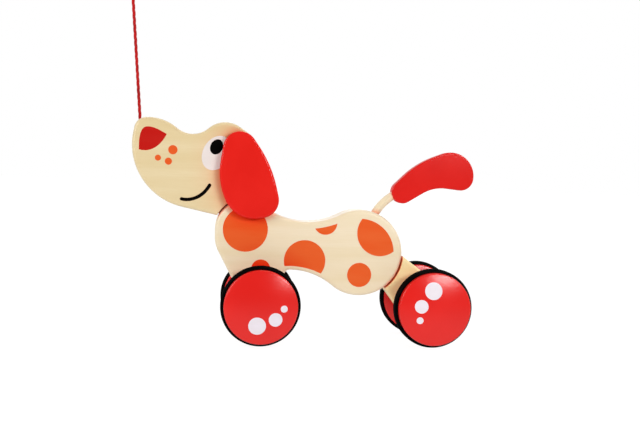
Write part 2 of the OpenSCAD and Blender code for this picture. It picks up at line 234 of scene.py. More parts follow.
@dataclass(frozen=True)
class Finish:
    """What a real material gives the eye: two near tones, a sheen and a fine relief.

    The second tone comes in broad patches, and the fine marks add more of it. The fine marks also
    vary the sheen and raise the relief, which the lacquer follows. Where other pieces stand within
    the tint's reach, a tint multiplied into the tone paints in shade between the pieces and the red
    light that comes off red and orange paint.
    """

    name: str
    tone: str
    second_tone: str
    broad: Pattern
    fine: Pattern
    fine_share: float
    roughness: Point
    relief_mm: float
    constants: Sockets
    # Painted shade: its tint, its reach, and the share of open sky below which the tint is full
    painted_shade_tint: str = WHITE
    painted_shade_mm: float = 5.0
    painted_shade_full: float = 0.5

    def material(self) -> Paint:
        """Makes the material.

        Returns:
            The new material.
        """
        made, tree, shader = new_material(self.name, dict(self.constants))
        second = linear(self.second_tone)
        broad, fine = self.broad.add_to(tree), self.fine.add_to(tree)
        patchy = add_node(tree, "ShaderNodeMix", {
            MIX_FACTOR: broad, MIX_A: linear(self.tone), MIX_B: second,
        }, data_type="RGBA")
        share = add_node(tree, "ShaderNodeMapRange", {"Value": fine, "To Max": self.fine_share})
        marked = add_node(tree, "ShaderNodeMix", {
            MIX_FACTOR: share.outputs["Result"], MIX_A: patchy.outputs[MIX_OUT], MIX_B: second,
        }, data_type="RGBA")
        tone = marked.outputs[MIX_OUT]
        if self.painted_shade_tint != WHITE:
            tone = self.add_painted_shade(tree, tone)
        dull, sleek = max(self.roughness), min(self.roughness)
        sheen = add_node(tree, "ShaderNodeMapRange", {"Value": fine, "To Min": sleek, "To Max": dull})
        relief = add_node(tree, "ShaderNodeBump", {"Height": fine, "Distance": self.relief_mm * MM})
        tree.links.new(tone, shader.inputs["Base Color"])
        tree.links.new(sheen.outputs["Result"], shader.inputs["Roughness"])
        for socket in ("Normal", "Coat Normal"):
            tree.links.new(relief.outputs["Normal"], shader.inputs[socket])
        return made

    def add_painted_shade(self, tree: Tree, tone: Socket) -> Socket:
        """Paints shade and bounced red light into a tone where other pieces stand close to the surface.

        Args:
            tree: Node tree of the material.
            tone: The tone in the open.

        Returns:
            The tone with the tint.
        """
        # Painted shade: the less open sky ambient occlusion finds, the more the tint darkens and reddens
        # the tone
        near = add_node(tree, "ShaderNodeAmbientOcclusion", {"Distance": self.painted_shade_mm * MM})
        clear = add_node(tree, "ShaderNodeMapRange", {
            "Value": near.outputs["AO"], "From Min": self.painted_shade_full,
        })
        painted_shade_colour = add_node(tree, "ShaderNodeMix", {
            MIX_FACTOR: clear.outputs["Result"], MIX_A: linear(self.painted_shade_tint), MIX_B: linear(WHITE),
        }, data_type="RGBA")
        both = add_node(tree, "ShaderNodeMix", {
            MIX_FACTOR: 1.0, MIX_A: tone, MIX_B: painted_shade_colour.outputs[MIX_OUT],
        }, data_type="RGBA", blend_type="MULTIPLY")
        return both.outputs[MIX_OUT]


@dataclass(frozen=True)
class LacqueredMaple(Finish):
    """Planed maple under clear satin lacquer: pale, with long faint streaks and short fine fibres.

    The lacquer leaves the faces nearly matt and gives the rounded edges a soft, pale haze. Real
    fibres are about 0.1 mm wide. They are drawn 0.9 mm wide, so that they show.
    """

    name: str = "lacquered_maple"
    tone: str = "#EFDEC0"
    second_tone: str = "#E8D4AC"
    broad: Pattern = Pattern((150.0, 14.0, 10.0), 3.0, 0.32, 0.7)
    fine: Pattern = Pattern((16.0, 0.9, 0.9), 2.0, 0.4, 0.8)
    fine_share: float = 0.4
    roughness: Point = (0.5, 0.65)
    relief_mm: float = 0.02
    constants: Sockets = (
        ("IOR", 1.5), ("Specular IOR Level", 0.4), ("Coat Weight", 0.6), ("Coat Roughness", 0.3),
        ("Sheen Weight", 0.5), ("Sheen Roughness", 0.5),
    )
    # Painted shade: faces within 5 mm of other pieces darken and warm, like shade with red light bounced
    # into it
    painted_shade_tint: str = "#FFA080"


@dataclass(frozen=True)
class LegMaple(LacqueredMaple):
    """Maple of the hind leg under a thin coat, without the pale haze on its edges.

    Its tone is lighter and more orange than the body's: painted light that makes up for the shade
    of the rear wheel on the leg, and painted red light bounced off that wheel.
    """

    name: str = "lacquered_maple_leg"
    tone: str = "#F8E4AE"
    second_tone: str = "#F3D99B"
    constants: Sockets = (
        ("IOR", 1.5), ("Specular IOR Level", 0.3), ("Coat Weight", 0.2), ("Coat Roughness", 0.3),
    )


@dataclass(frozen=True)
class SprayEnamel(Finish):
    """Enamel sprayed on sealed wood: an even, strong colour with a faint ripple and a satin skin."""

    name: str = "satin_red_enamel"
    tone: str = "#E4221A"
    second_tone: str = "#DF1E16"
    broad: Pattern = Pattern((24.0, 24.0, 24.0))
    fine: Pattern = Pattern((2.5, 2.5, 2.5), 1.0, 0.3, 0.7)
    fine_share: float = 0.2
    roughness: Point = (0.45, 0.55)
    relief_mm: float = 0.004
    constants: Sockets = (
        ("IOR", 1.5), ("Specular IOR Level", 0.0), ("Coat Weight", 0.4), ("Coat Roughness", 0.15),
    )


@dataclass(frozen=True)
class PolishedEnamel(SprayEnamel):
    """The same enamel under clear lacquer on turned pieces: deeper, with a soft bright highlight.

    A slight ripple in the lacquer breaks the highlight up.
    """

    name: str = "gloss_red_enamel"
    tone: str = "#E41D16"
    second_tone: str = "#DF1A13"
    fine: Pattern = Pattern((2.2, 2.2, 2.2), 2.0, 0.3, 0.7)
    relief_mm: float = 0.02
    constants: Sockets = (
        ("IOR", 1.5), ("Specular IOR Level", 0.0), ("Coat Weight", 0.85), ("Coat Roughness", 0.23),
    )


@dataclass(frozen=True)
class ScreenInk(Finish):
    """Screen-printed ink on lacquered wood: an opaque matt film that the wood's fibres show through.

    The fibres are as wide as they are drawn on the wood.
    """

    name: str = "orange_screen_ink"
    tone: str = "#E45A26"
    second_tone: str = "#E5622E"
    broad: Pattern = Pattern((40.0, 9.0, 7.0), 2.0, 0.35, 0.7)
    fine: Pattern = Pattern((16.0, 0.9, 0.9), 2.0, 0.45, 0.8)
    fine_share: float = 0.4
    roughness: Point = (0.5, 0.65)
    relief_mm: float = 0.01
    constants: Sockets = (("IOR", 1.48), ("Specular IOR Level", 0.02))


@dataclass(frozen=True)
class MouldedRubber(Finish):
    """Moulded rubber: near black, with a fine matt skin and dull scuffs where the tyre rolls.

    The skin's grain is about 0.1 mm. It is drawn at 0.6 mm, so that it shows.
    """

    name: str = "moulded_rubber"
    tone: str = "#060606"
    second_tone: str = "#121111"
    broad: Pattern = Pattern((6.0, 6.0, 6.0), 4.0, 0.5, 0.8)
    fine: Pattern = Pattern((0.6, 0.6, 0.6), 1.0, 0.3, 0.7)
    fine_share: float = 0.15
    roughness: Point = (0.22, 0.34)
    relief_mm: float = 0.006
    constants: Sockets = (
        ("Specular IOR Level", 0.0), ("Coat Weight", 0.03), ("Coat Roughness", 0.25),
    )


@dataclass(frozen=True)
class TwistedCotton(Finish):
    """Dyed cotton cord: matt fibres that run along each strand, with a soft fuzz at grazing angles.

    Cotton fibres are about 0.02 mm wide. They are drawn 0.35 mm wide, so that they show.
    """

    name: str = "twisted_cotton"
    tone: str = "#CE1B1B"
    second_tone: str = "#A51214"
    broad: Pattern = Pattern((4.0, 4.0, 9.0))
    fine: Pattern = Pattern((0.35, 0.35, 1.6), 2.0, 0.35, 0.7)
    fine_share: float = 0.7
    roughness: Point = (0.75, 0.95)
    relief_mm: float = 0.06
    constants: Sockets = (
        ("IOR", 1.46), ("Specular IOR Level", 0.15), ("Sheen Weight", 0.12), ("Sheen Roughness", 0.5),
    )


@dataclass(frozen=True)
class ZincPlatedSteel(Finish):
    """Stamped and zinc-plated steel: cool grey metal with fine rolling lines and slight clouding.

    The rolling lines are about 0.05 mm wide. They are drawn 0.3 mm wide, so that they show.
    """

    name: str = "zinc_plated_steel"
    tone: str = "#C9CBCE"
    second_tone: str = "#A4A7AB"
    broad: Pattern = Pattern((5.0, 5.0, 5.0))
    fine: Pattern = Pattern((9.0, 0.3, 0.3), 2.0, 0.3, 0.7)
    fine_share: float = 0.5
    roughness: Point = (0.28, 0.42)
    relief_mm: float = 0.003
    constants: Sockets = (("Metallic", 1.0),)


@dataclass(frozen=True)
class Paintbox:
    """One material for each finish on the toy."""

    body_maple: Paint
    head_maple: Paint
    leg_maple: Paint
    core_maple: Paint
    dowel: Paint
    ear_red: Paint
    tail_red: Paint
    gloss_red: Paint
    orange_ink: Paint
    red_ink: Paint
    white_ink: Paint
    eye_ink: Paint
    black_ink: Paint
    rubber: Paint
    cotton: Paint
    steel: Paint

    @classmethod
    def mixed(cls) -> "Paintbox":
        """Makes all the materials.

        Returns:
            The filled paintbox.
        """
        return cls(
            body_maple=LacqueredMaple().material(),
            # The head's painted shade reaches 24 mm and paints an orange glow of red light off the ears
            head_maple=LacqueredMaple(
                "lacquered_maple_head", "#E7D3A7", "#DEC692", painted_shade_tint="#FFA07A", painted_shade_mm=24.0,
            ).material(),
            leg_maple=LegMaple().material(),
            core_maple=LacqueredMaple("lacquered_maple_core", "#EAD9B4", "#E0CA9C").material(),
            dowel=LacqueredMaple("turned_birch", "#DDC292", "#CBA976").material(),
            ear_red=SprayEnamel().material(),
            tail_red=SprayEnamel("satin_red_enamel_tail", "#DA1E18", "#D41A14").material(),
            gloss_red=PolishedEnamel().material(),
            # The orange ink's painted shade paints the ears' red light and shade onto the spots below
            # them
            orange_ink=ScreenInk(painted_shade_tint="#FF5C40", painted_shade_mm=24.0).material(),
            red_ink=ScreenInk("red_screen_ink", "#BF1B16", "#C2241E").material(),
            white_ink=ScreenInk("white_screen_ink", "#ECE3EB", "#E8DFE4").material(),
            eye_ink=ScreenInk("eye_screen_ink", "#E8E0DB", "#E4DBD5").material(),
            black_ink=ScreenInk("black_screen_ink", "#020202", "#070606").material(),
            rubber=MouldedRubber().material(),
            cotton=TwistedCotton().material(),
            steel=ZincPlatedSteel().material(),
        )


@dataclass(frozen=True)
class Span:
    """Box of a CAD node at rest, in metres."""

    low: Vector
    high: Vector

    @classmethod
    def of(cls, node: str) -> "Span":
        """Reads the box of a node."""
        return cls(*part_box(node))

    @property
    def centre(self) -> Vector:
        """Middle of the box."""
        return (self.low + self.high) / 2

    def reach_y(self, side: Side) -> float:
        """Distance of the box's far face from the middle plane, on one side."""
        return max(self.low.y * side.value, self.high.y * side.value)


def dressed(
    piece: Piece, material: Paint, body: str, node: str | None = None,
) -> Piece:
    """Gives a new piece its material, the body that it rides on and the node that it stands for.

    Args:
        piece: The new piece.
        material: Its finish.
        body: CAD body that carries it.
        node: CAD node that it replaces, if any.

    Returns:
        The piece.
    """
    piece.data.materials.clear()
    piece.data.materials.append(material)
    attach(piece, body)
    if node:
        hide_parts(node)
    LOG.info("built %s on %s", piece.name, body)
    return piece


def paint_node(frame: Frame, node: str, material: Paint) -> None:
    """Gives a CAD node that stays in view a finish.

    Args:
        frame: The loaded frame.
        node: Name of the node.
        material: Its finish.
    """
    for holder in frame["nodes"][node].material_slots:
        holder.material = material
    LOG.info("painted %s", node)


def piece_from(name: str, shape: Shape, eased: Iterable[Edge] = ()) -> Piece:
    """Turns a finished bmesh into an object in the scene, shaded smooth apart from its sharp edges.

    Args:
        name: Name of the piece.
        shape: Its shape, which is freed.
        eased: Edges that a modifier rounds later, which aren't sharp.

    Returns:
        The new object.
    """
    round_later = set(eased)
    for face in shape.faces:
        face.smooth = True
    for edge in shape.edges:
        edge.smooth = edge in round_later or edge.calc_face_angle(0.0) < SMOOTH_ANGLE
    mesh = bpy.data.meshes.new(name)
    shape.to_mesh(mesh)
    shape.free()
    piece = bpy.data.objects.new(name, mesh)
    bpy.context.scene.collection.objects.link(piece)
    return piece


@dataclass(frozen=True)
class Cut:
    """Round cut in a board's edge that faces a knuckle across a joint, and is left crisp."""

    centre: Point
    radius: float
    crisp_share: float = 0.2
    slack: float = 0.15

    def share(self, point: Vector) -> float:
        """Share of the board's rounding at one place on its edge.

        Args:
            point: The place, in metres.

        Returns:
            The crisp share in the cut, and 1 away from it.
        """
        arm = Vector((point.x / MM - self.centre[0], point.z / MM - self.centre[1]))
        return self.crisp_share if abs(arm.length - self.radius) < self.slack else 1.0


def broad_faces(shape: Shape) -> list[float]:
    """Finds the two broad flat faces of a board that lies across Y.

    Args:
        shape: The board.

    Returns:
        Their Y, the one further from the middle plane last.
    """
    areas: dict[float, float] = {}
    for face in shape.faces:
        if abs(face.normal.y) > math.cos(FLAT_ANGLE):
            level = round(face.calc_center_median().y / SAME_POINT) * SAME_POINT
            areas[level] = areas.get(level, 0.0) + face.calc_area()
    broadest = sorted(areas, key=areas.get)[-2:]
    return sorted(broadest, key=abs)


def outer_rim(shape: Shape, level: float) -> list[Edge]:
    """Finds the edges round the outside of a board's flat face, without those of its bores.

    Args:
        shape: The board.
        level: Y of the face.

    Returns:
        The edges of the longest rim.
    """
    def on_face(edge: Edge) -> bool:
        """Whether an edge bounds the flat face."""
        flat = [abs(face.normal.y) > math.cos(FLAT_ANGLE) for face in edge.link_faces]
        near = all(abs(vert.co.y - level) < SAME_POINT for vert in edge.verts)
        return near and sorted(flat) == [False, True]

    open_edges = {edge for edge in shape.edges if on_face(edge)}
    rims: list[list[Edge]] = []
    while open_edges:
        rim = [open_edges.pop()]
        for edge in rim:
            linked = {other for vert in edge.verts for other in vert.link_edges} & open_edges
            open_edges -= linked
            rim.extend(linked)
        rims.append(rim)
    return max(rims, key=lambda rim: sum(edge.calc_length() for edge in rim))


def softened(
    node: Piece, name: str, radius_mm: float, both_faces: bool = False, cuts: Sequence[Cut] = (),
) -> Piece:
    """Copies a flat CAD board and rounds the rim of its outer face, or of both faces.

    Args:
        node: The board, flat across Y.
        name: Name of the new piece.
        radius_mm: Radius of the rounding, or 0 for none.
        both_faces: Whether the inner face is rounded too.
        cuts: Stretches of the rim that stay crisp.

    Returns:
        The new piece.
    """
    shape = bmesh.new()
    shape.from_mesh(node.data)
    bmesh.ops.remove_doubles(shape, verts=shape.verts[:], dist=SAME_POINT)
    bmesh.ops.dissolve_limit(shape, angle_limit=FLAT_ANGLE, verts=shape.verts[:], edges=shape.edges[:])
    shape.normal_update()
    rims = []
    if radius_mm:
        weight = shape.edges.layers.float.new("bevel_weight_edge")
        levels = broad_faces(shape)
        rims = [edge for level in levels[0 if both_faces else 1:] for edge in outer_rim(shape, level)]
        for edge in rims:
            middle = (edge.verts[0].co + edge.verts[1].co) / 2
            edge[weight] = min((cut.share(middle) for cut in cuts), default=1.0)
    piece = piece_from(name, shape, rims)
    if radius_mm:
        rounding = piece.modifiers.new("rounded rim", "BEVEL")
        rounding.limit_method = "WEIGHT"
        rounding.width = radius_mm * MM
        rounding.segments = RIM_FLATS
        rounding.use_clamp_overlap = False
        rounding.loop_slide = False
    piece.modifiers.new("even triangles", "TRIANGULATE").ngon_method = "BEAUTY"
    piece.modifiers.new("flat faces stay flat", "WEIGHTED_NORMAL").keep_sharp = True
    return piece


def arc(centre: Point, radius: float, start: float, end: float, steps: int = SPOT_STEPS) -> list[Point]:
    """Points along an arc in the side view.

    Args:
        centre: Middle of the arc, as X and Z.
        radius: Its radius.
        start: Angle of the first point, in radians.
        end: Angle of the last point, in radians.
        steps: Number of straight stretches.

    Returns:
        The points, with both ends.
    """
    angles = [start + (end - start) * i / steps for i in range(steps + 1)]
    return [(centre[0] + radius * math.cos(a), centre[1] + radius * math.sin(a)) for a in angles]


def bezier(ends: tuple[Point, Point], handles: tuple[Point, Point], steps: int) -> list[Point]:
    """Points along a cubic curve, without its last point.

    Args:
        ends: First and last point.
        handles: The two control points between them.
        steps: Number of straight stretches.

    Returns:
        The points.
    """
    first, last = Vector(ends[0]), Vector(ends[1])
    out, back = Vector(handles[0]), Vector(handles[1])
    points = []
    for i in range(steps):
        t = i / steps
        u = 1 - t
        points.append(tuple(u ** 3 * first + 3 * u * u * t * out + 3 * u * t * t * back + t ** 3 * last))
    return points


@dataclass(frozen=True)
class Trim:
    """Line parallel to a round stretch of the board's edge, which trims a spot."""

    centre: Point
    radius: float
    keep: Keep


@dataclass(frozen=True)
class Spot:
    """Round printed spot, which a trim may cut short."""

    centre: Point
    radius: float
    trim: Trim | None = None

    def outline(self) -> list[Point]:
        """Draws the spot.

        Returns:
            Points round it, in millimetres.
        """
        if self.trim is None:
            return arc(self.centre, self.radius, 0.0, math.tau)[:-1]
        gap = Vector(self.trim.centre) - Vector(self.centre)
        far, spot_r, trim_r = gap.length, self.radius, self.trim.radius
        way = math.atan2(gap.y, gap.x)
        half = math.acos((far ** 2 + spot_r ** 2 - trim_r ** 2) / (2 * far * spot_r))
        trim_half = math.acos((far ** 2 + trim_r ** 2 - spot_r ** 2) / (2 * far * trim_r))
        back = way + math.pi
        if self.trim.keep is Keep.INSIDE:
            rim = arc(self.centre, spot_r, way - half, way + half)
            cut = arc(self.trim.centre, trim_r, back - trim_half, back + trim_half)
        else:
            rim = arc(self.centre, spot_r, way + half, way - half + math.tau)
            cut = arc(self.trim.centre, trim_r, back + trim_half, back - trim_half)
        return rim[:-1] + cut[:-1]


@dataclass(frozen=True)
class Oval:
    """Printed oval, which leans with its top to the tail."""

    centre: Point
    half: Point
    lean_deg: float

    def outline(self) -> list[Point]:
        """Draws the oval.

        Returns:
            Points round it, in millimetres.
        """
        lean = math.radians(self.lean_deg)
        across = Vector((math.cos(lean), -math.sin(lean))) * self.half[0]
        along = Vector((math.sin(lean), math.cos(lean))) * self.half[1]
        return [
            tuple(Vector(self.centre) + unit[0] * across + unit[1] * along)
            for unit in arc((0.0, 0.0), 1.0, 0.0, math.tau, OVAL_STEPS)[:-1]
        ]


@dataclass(frozen=True)
class Stroke:
    """Printed line of even width with round ends, along one curve."""

    ends: tuple[Point, Point]
    handles: tuple[Point, Point]
    width: float

    def outline(self) -> list[Point]:
        """Draws the stroke.

        Returns:
            Points round it, in millimetres.
        """
        line = [Vector(p) for p in bezier(self.ends, self.handles, STROKE_STEPS)] + [Vector(self.ends[1])]
        end = len(line) - 1
        ways = [(line[min(i + 1, end)] - line[max(i - 1, 0)]).normalized() for i in range(len(line))]
        half, quarter = self.width / 2, math.pi / 2
        asides = [Vector((-way.y, way.x)) * self.width / 2 for way in ways]
        upper = [tuple(p + a) for p, a in zip(line, asides)]
        lower = [tuple(p - a) for p, a in zip(line, asides)]
        first = math.atan2(ways[0].y, ways[0].x)
        last = math.atan2(ways[-1].y, ways[-1].x)
        tip = arc(self.ends[1], half, last - quarter, last + quarter, STROKE_END_STEPS)[1:-1]
        tail = arc(self.ends[0], half, first + quarter, first + 3 * quarter, STROKE_END_STEPS)[1:-1]
        return lower + tip + upper[::-1] + tail


@dataclass(frozen=True)
class Film:
    """How a film of ink lies on a face."""

    proud_mm: float = 0.06
    sunk_mm: float = 0.03

    def flat(self, name: str, outlines: Iterable[list[Point]], face_y: float, side: Side) -> Piece:
        """Lays films of the given outlines on a flat face across Y.

        Args:
            name: Name of the piece.
            outlines: Outlines in the side view, in millimetres.
            face_y: Distance of the face from the middle plane, in metres.
            side: Side of the toy.

        Returns:
            The films as one piece.
        """
        shape = bmesh.new()
        levels = [(face_y - self.sunk_mm * MM) * side.value, (face_y + self.proud_mm * MM) * side.value]
        for outline in outlines:
            rings = [[shape.verts.new((x * MM, y, z * MM)) for x, z in outline] for y in levels]
            for ring in rings:
                shape.faces.new(ring)
            for i in range(len(outline)):
                shape.faces.new((rings[0][i - 1], rings[0][i], rings[1][i], rings[1][i - 1]))
        bmesh.ops.recalc_face_normals(shape, faces=shape.faces[:])
        return piece_from(name, shape)


def lathe(
    name: str, profile: Sequence[Point], origin: Vector, outward: Vector, segments: int = TURNED_FLATS,
) -> Piece:
    """Turns a profile about an axis.

    Args:
        name: Name of the piece.
        profile: Radius and distance along the axis of each point, in millimetres.
        origin: Point on the axis where the distance is 0, in metres.
        outward: Direction of the axis.
        segments: Number of flats round the axis.

    Returns:
        The turned piece.
    """
    turn = outward.to_track_quat("Z", "Y").to_matrix()
    shape = bmesh.new()
    rings = []
    for radius, along in profile:
        count = segments if radius > 0 else 1
        angles = [math.tau * i / count for i in range(count)]
        spots = [Vector((radius * math.cos(a), radius * math.sin(a), along)) * MM for a in angles]
        rings.append([shape.verts.new(origin + turn @ spot) for spot in spots])
    pairs = list(zip(rings, rings[1:]))
    if len(rings[0]) > 1:
        pairs.append((rings[-1], rings[0]))
    for low, high in pairs:
        for i in range(segments):
            steps = ((low, i), (low, i + 1), (high, i + 1), (high, i))
            corners = [ring[k % len(ring)] for ring, k in steps]
            shape.faces.new(list(dict.fromkeys(corners)))
    bmesh.ops.recalc_face_normals(shape, faces=shape.faces[:])
    return piece_from(name, shape)


def add_tube(shape: Shape, line: Sequence[Vector], radius: float, closed: bool, sides: int) -> None:
    """Adds a round tube along a line to a shape.

    Args:
        shape: Shape that gets the tube.
        line: Points along its middle, in metres.
        radius: Radius in metres.
        closed: Whether the line ends where it starts.
        sides: Number of flats round the tube.
    """
    count = len(line)
    rings = []
    across = Vector((0.0, 1.0, 0.0))
    for i, point in enumerate(line):
        after = line[(i + 1) % count] if closed or i + 1 < count else point
        before = line[i - 1] if closed or i > 0 else point
        way = (after - before).normalized()
        across = (across - way * across.dot(way)).normalized()
        aside = way.cross(across)
        angles = [math.tau * k / sides for k in range(sides)]
        ring = [point + radius * (math.cos(a) * across + math.sin(a) * aside) for a in angles]
        rings.append([shape.verts.new(spot) for spot in ring])
    for i in range(count if closed else count - 1):
        low, high = rings[i], rings[(i + 1) % count]
        shift = 0
        if closed and i == count - 1:
            shift = min(range(sides), key=lambda k: (high[k].co - low[0].co).length)
        for k in range(sides):
            nxt = (k + 1) % sides
            shape.faces.new((low[k], low[nxt], high[(nxt + shift) % sides], high[(k + shift) % sides]))
    if not closed:
        shape.faces.new(rings[0][::-1])
        shape.faces.new(rings[-1])


@dataclass(frozen=True)
class Softbox:
    """Lamp behind a white cloth, which faces the toy."""

    name: str
    place_mm: Place
    size_mm: Point
    watts: float

    def build(self, scene: Scene, target: Vector) -> None:
        """Hangs the softbox.

        Args:
            scene: Scene that gets the light.
            target: Point that it faces, in metres.
        """
        data = bpy.data.lights.new(self.name, "AREA")
        data.shape = "RECTANGLE"
        data.size, data.size_y = (side * MM for side in self.size_mm)
        data.energy = self.watts
        light = bpy.data.objects.new(self.name, data)
        light.location = Vector(self.place_mm) * MM
        light.rotation_euler = (target - light.location).to_track_quat("-Z", "Y").to_euler()
        scene.collection.objects.link(light)


@dataclass(frozen=True)
class Studio:
    """White sweep with softboxes round it, and the camera.

    The key and the glint stand at the right of the camera and give the highlights, the fill stands
    at the left, a faint one hangs overhead, and the rim light stands far to the right. The room is
    bright behind the toy and dim in front of it, and light comes up off the floor. Each reach is a
    stretch of directions over which one room light goes over into the next.
    """

    camera_mm: Place = (-62.9, -652.2, 128.1)
    yaw_deg: float = 6.516
    pitch_deg: float = 2.644
    roll_deg: float = 1.752
    lens_mm: float = 47.72
    sensor_mm: float = 36.0
    floor_mm: float = 18400.0
    floor_glow: float = 0.93
    floor_light: float = 0.8
    sweep_mm: float = 9000.0
    sweep_detail: int = 4
    back_light: float = 1.0
    front_light: float = 0.185
    back_reach: Point = (-0.3, 0.35)
    floor_reach: Point = (-0.02, -0.3)
    softboxes: tuple[Softbox, ...] = (
        Softbox("key", (353.0, -648.0, 290.0), (310.0, 190.0), 2.0),
        Softbox("glint", (370.0, -640.0, 285.0), (150.0, 90.0), 0.5),
        Softbox("fill", (-1000.0, -850.0, 500.0), (600.0, 600.0), 8.6),
        Softbox("overhead", (150.0, -80.0, 1300.0), (450.0, 450.0), 0.8),
        Softbox("rim", (1200.0, 100.0, 890.0), (450.0, 450.0), 5.5),
    )
    target_mm: Place = (0.0, 0.0, 80.0)

    def build(self) -> None:
        """Builds the camera, the sweep, the floor, the room light and the softboxes."""
        scene = bpy.context.scene
        scene.view_settings.view_transform = "Standard"
        self.build_camera(scene)
        self.build_room(scene)
        self.build_sweep()
        for softbox in self.softboxes:
            softbox.build(scene, Vector(self.target_mm) * MM)

    def build_camera(self, scene: Scene) -> None:
        """Puts the camera where the photograph was taken from.

        Args:
            scene: Scene that gets the camera.
        """
        data = bpy.data.cameras.new("camera")
        data.lens = self.lens_mm
        data.sensor_width = self.sensor_mm
        camera = bpy.data.objects.new("camera", data)
        level = Matrix(((1, 0, 0), (0, 0, -1), (0, 1, 0)))
        yaw = Matrix.Rotation(-math.radians(self.yaw_deg), 3, "Y")
        pitch = Matrix.Rotation(math.radians(self.pitch_deg), 3, "X")
        roll = Matrix.Rotation(math.radians(self.roll_deg), 3, "Z")
        look = roll @ pitch @ yaw @ level
        turn = look.transposed() @ Matrix.Diagonal((1, -1, -1))
        camera.matrix_world = Matrix.Translation(Vector(self.camera_mm) * MM) @ turn.to_4x4()
        scene.collection.objects.link(camera)
        scene.camera = camera

    def build_room(self, scene: Scene) -> None:
        """Lights the room.

        Args:
            scene: Scene that gets the light.
        """
        world = bpy.data.worlds.new("studio")
        world.use_nodes = True
        tree = world.node_tree
        way = add_node(tree, "ShaderNodeTexCoord")
        split = add_node(tree, "ShaderNodeSeparateXYZ", {"Vector": way.outputs["Generated"]})
        light = add_node(tree, "ShaderNodeMapRange", {
            "Value": split.outputs["Y"],
            "From Min": self.back_reach[0],
            "From Max": self.back_reach[1],
            "To Min": self.front_light,
            "To Max": self.back_light,
        })
        bounce = add_node(tree, "ShaderNodeMapRange", {
            "Value": split.outputs["Z"],
            "From Min": self.floor_reach[0],
            "From Max": self.floor_reach[1],
        })
        both = add_node(tree, "ShaderNodeMix", {
            "Factor": bounce.outputs["Result"], "A": light.outputs["Result"], "B": self.floor_light,
        })
        tree.links.new(both.outputs["Result"], tree.nodes["Background"].inputs["Strength"])
        tree.nodes["Background"].inputs["Color"].default_value = linear(WHITE)
        scene.world = world

    def build_sweep(self) -> None:
        """Lays a pale floor that glows like a lit table, under a white sweep that only the eye sees."""
        floor_shape, sweep_shape = bmesh.new(), bmesh.new()
        bmesh.ops.create_grid(floor_shape, x_segments=1, y_segments=1, size=self.floor_mm * MM / 2)
        bmesh.ops.create_icosphere(
            sweep_shape, subdivisions=self.sweep_detail, radius=self.sweep_mm * MM,
        )
        white = linear(WHITE)
        floor_paint, _, _ = new_material("pale_floor", {
            "Base Color": linear("#606060"), "Roughness": 0.8, "Specular IOR Level": 0.1,
            "Emission Color": white, "Emission Strength": self.floor_glow,
        })
        sweep_paint, _, _ = new_material("white_sweep", {
            "Base Color": linear(BLACK), "Specular IOR Level": 0.0,
            "Emission Color": white, "Emission Strength": self.back_light,
        })
        floor = piece_from("floor", floor_shape)
        sweep = piece_from("sweep", sweep_shape)
        for stage, paint in ((floor, floor_paint), (sweep, sweep_paint)):
            stage.visible_shadow = False
            stage.visible_diffuse = False
            stage.visible_glossy = False
            stage.data.materials.append(paint)


